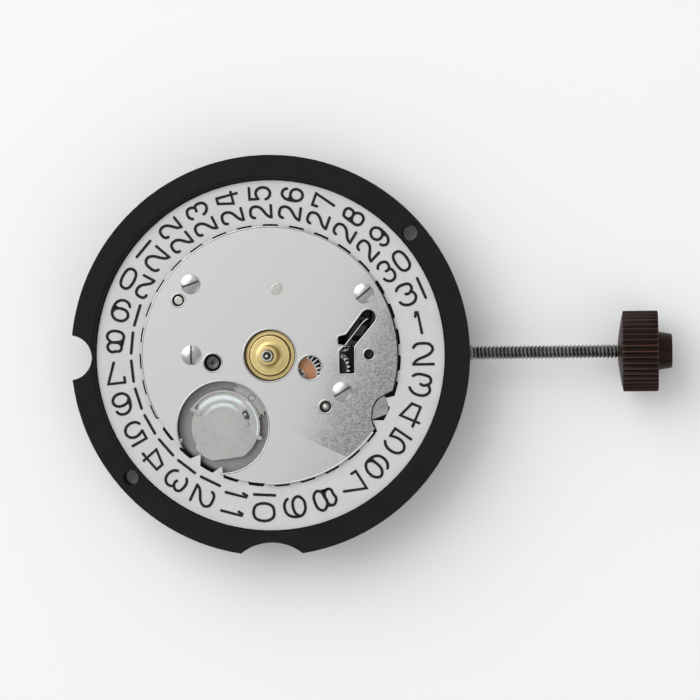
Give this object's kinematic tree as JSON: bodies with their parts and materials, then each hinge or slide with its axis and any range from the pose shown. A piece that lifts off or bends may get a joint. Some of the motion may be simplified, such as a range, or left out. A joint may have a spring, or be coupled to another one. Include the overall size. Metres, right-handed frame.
{
  "type": "quartz watch movement",
  "caption": "Round analogue quartz watch movement with a date ring, hour, minute and second arbors at its centre, and a stem with a ribbed crown.",
  "frame": {"origin": "on the centre axis of the hands, at the level of the rim the dial rests on", "axes": "+Z out of the dial side along the hand arbors, +X out along the winding stem at three o'clock, +Y towards twelve o'clock"},
  "size_m": [0.0389, 0.0258, 0.0061],
  "materials": {
    "black_plastic": "fine moulded grain",
    "nickel_plate": "satin",
    "nickel_sheet": "satin",
    "screw_steel": "polished",
    "pin_steel": "polished",
    "grey_bush": "matt",
    "spring_steel": "satin",
    "ring_lacquer": "silk lacquer",
    "numeral_ink": "printed",
    "brass_wheel": "satin",
    "copper_disc": "satin",
    "gear_steel": "satin",
    "pale_plastic": "moulded",
    "crown_plastic": "moulded",
    "stem_steel": "turned",
    "magnet": "sintered",
    "soft_iron": "annealed",
    "copper_wire": "enamelled wire",
    "coil_plastic": "moulded",
    "battery_steel": "satin",
    "gasket": "moulded",
    "contact_brass": "gilt",
    "crystal_steel": "drawn",
    "lead_tin": "tinned",
    "chip_resin": "resin",
    "board_green": "lacquered",
    "sheet_film": "film",
    "ruby": "polished"
  },
  "bodies": {
    "movement": {"frame": "black_plastic", "main_plate": "nickel_plate", "date_plate": "nickel_sheet", "date_plate_screws": "screw_steel", "plate_pins": "pin_steel", "plate_bush": "grey_bush", "date_jumper": "spring_steel", "yoke_spring": "spring_steel", "stator": "soft_iron", "coil_core": "soft_iron", "coil_winding": "copper_wire", "coil_cheeks": "coil_plastic", "battery_can": "battery_steel", "battery_cap": "battery_steel", "battery_gasket": "gasket", "negative_contact": "contact_brass", "crystal_can": "crystal_steel", "crystal_leads": "lead_tin", "circuit_chip": "chip_resin", "circuit_board": "board_green", "insulating_sheet": "sheet_film", "train_bridge": "nickel_plate", "bridge_bushes": "ruby", "bridge_screws": "screw_steel", "back_cover": "nickel_plate", "cover_screws": "screw_steel"},
    "date_ring": {"date_ring": "ring_lacquer", "date_numerals": "numeral_ink"},
    "hours": {"hour_wheel": "brass_wheel"},
    "minutes": {"cannon_pinion": "gear_steel"},
    "minute_wheel": {"minute_wheel": "gear_steel", "minute_wheel_disc": "copper_disc"},
    "setting_wheel": {"setting_wheel": "gear_steel"},
    "intermediate_date_wheel": {"intermediate_date_wheel": "pale_plastic"},
    "date_wheel": {"date_wheel": "pale_plastic", "date_finger": "pale_plastic"},
    "date_corrector": {"date_corrector": "gear_steel"},
    "seconds": {"second_wheel": "gear_steel"},
    "centre_wheel": {"centre_wheel": "brass_wheel"},
    "third_wheel": {"third_wheel": "brass_wheel"},
    "intermediate_wheel": {"intermediate_wheel": "brass_wheel"},
    "rotor": {"rotor_pinion": "gear_steel", "rotor_magnet": "magnet"},
    "setting_lever": {"setting_lever": "spring_steel"},
    "yoke": {"yoke": "spring_steel"},
    "clutch": {"clutch_pinion": "gear_steel"},
    "stem": {"stem": "stem_steel", "crown": "crown_plastic"}
  },
  "joints": [
    {"name": "seconds_turn", "type": "hinge", "parent": "movement", "child": "seconds", "pos_m": [0, 0, 0], "axis": [0, 0, 1], "continuous": true},
    {"name": "third_turn", "type": "hinge", "parent": "movement", "child": "third_wheel", "pos_m": [-0.00196, -0.00071, 0], "axis": [0, 0, 1], "continuous": true},
    {"name": "centre_turn", "type": "hinge", "parent": "movement", "child": "centre_wheel", "pos_m": [0, 0, 0], "axis": [0, 0, 1], "continuous": true},
    {"name": "intermediate_turn", "type": "hinge", "parent": "movement", "child": "intermediate_wheel", "pos_m": [0.00055, -0.00206, 0], "axis": [0, 0, 1], "continuous": true},
    {"name": "rotor_turn", "type": "hinge", "parent": "movement", "child": "rotor", "pos_m": [0.00139, -0.00351, 0], "axis": [0, 0, 1], "continuous": true},
    {"name": "minutes_turn", "type": "hinge", "parent": "movement", "child": "minutes", "pos_m": [0, 0, 0], "axis": [0, 0, 1], "continuous": true},
    {"name": "minute_wheel_turn", "type": "hinge", "parent": "movement", "child": "minute_wheel", "pos_m": [0.00172, -0.00131, 0], "axis": [0, 0, 1], "continuous": true},
    {"name": "hours_turn", "type": "hinge", "parent": "movement", "child": "hours", "pos_m": [0, 0, 0], "axis": [0, 0, 1], "continuous": true},
    {"name": "setting_wheel_turn", "type": "hinge", "parent": "movement", "child": "setting_wheel", "pos_m": [0.0042, -0.00087, 0], "axis": [0, 0, 1], "continuous": true},
    {"name": "intermediate_date_turn", "type": "hinge", "parent": "movement", "child": "intermediate_date_wheel", "pos_m": [-0.00124, -0.00276, 0], "axis": [0, 0, 1], "continuous": true},
    {"name": "date_wheel_turn", "type": "hinge", "parent": "movement", "child": "date_wheel", "pos_m": [-0.0031, -0.00462, 0], "axis": [0, 0, 1], "continuous": true},
    {"name": "date_ring_turn", "type": "hinge", "parent": "movement", "child": "date_ring", "pos_m": [0, 0, 0], "axis": [0, 0, 1], "continuous": true, "deforming": ["date_jumper"]},
    {"name": "date_corrector_turn", "type": "hinge", "parent": "movement", "child": "date_corrector", "pos_m": [0.00635, -0.00172, 0], "axis": [0, 0, 1], "continuous": true},
    {"name": "yoke_shift", "type": "slide", "parent": "movement", "child": "yoke", "axis": [1, 0, 0], "range_m": [-0.0004, 0], "deforming": ["yoke_spring"]},
    {"name": "crown_turn", "type": "hinge", "parent": "yoke", "child": "clutch", "pos_m": [0, 0, -0.00165], "axis": [1, 0, 0], "continuous": true},
    {"name": "stem_pull", "type": "slide", "parent": "clutch", "child": "stem", "axis": [1, 0, 0], "range_m": [0, 0.0014]},
    {"name": "setting_lever_turn", "type": "hinge", "parent": "movement", "child": "setting_lever", "pos_m": [0.00698, 0.00275, 0], "axis": [0, 0, 1], "range_deg": [0, 20.95]}
  ],
  "couplings": [
    {"joint": "third_turn", "follows": "seconds_turn", "ratio": -0.13333},
    {"joint": "centre_turn", "follows": "seconds_turn", "ratio": 0.016667},
    {"joint": "intermediate_turn", "follows": "seconds_turn", "ratio": -6},
    {"joint": "rotor_turn", "follows": "seconds_turn", "ratio": 30},
    {"joint": "minute_wheel_turn", "follows": "minutes_turn", "ratio": -0.33333},
    {"joint": "hours_turn", "follows": "minutes_turn", "ratio": 0.083333},
    {"joint": "setting_wheel_turn", "follows": "minutes_turn", "ratio": 0.6},
    {"joint": "intermediate_date_turn", "follows": "minutes_turn", "ratio": -0.11111},
    {"joint": "date_wheel_turn", "follows": "minutes_turn", "ratio": 0.041667},
    {"joint": "yoke_shift", "follows": "stem_pull", "ratio": -0.28571},
    {"joint": "setting_lever_turn", "follows": "stem_pull", "rad_per_m": 261.19}
  ]
}
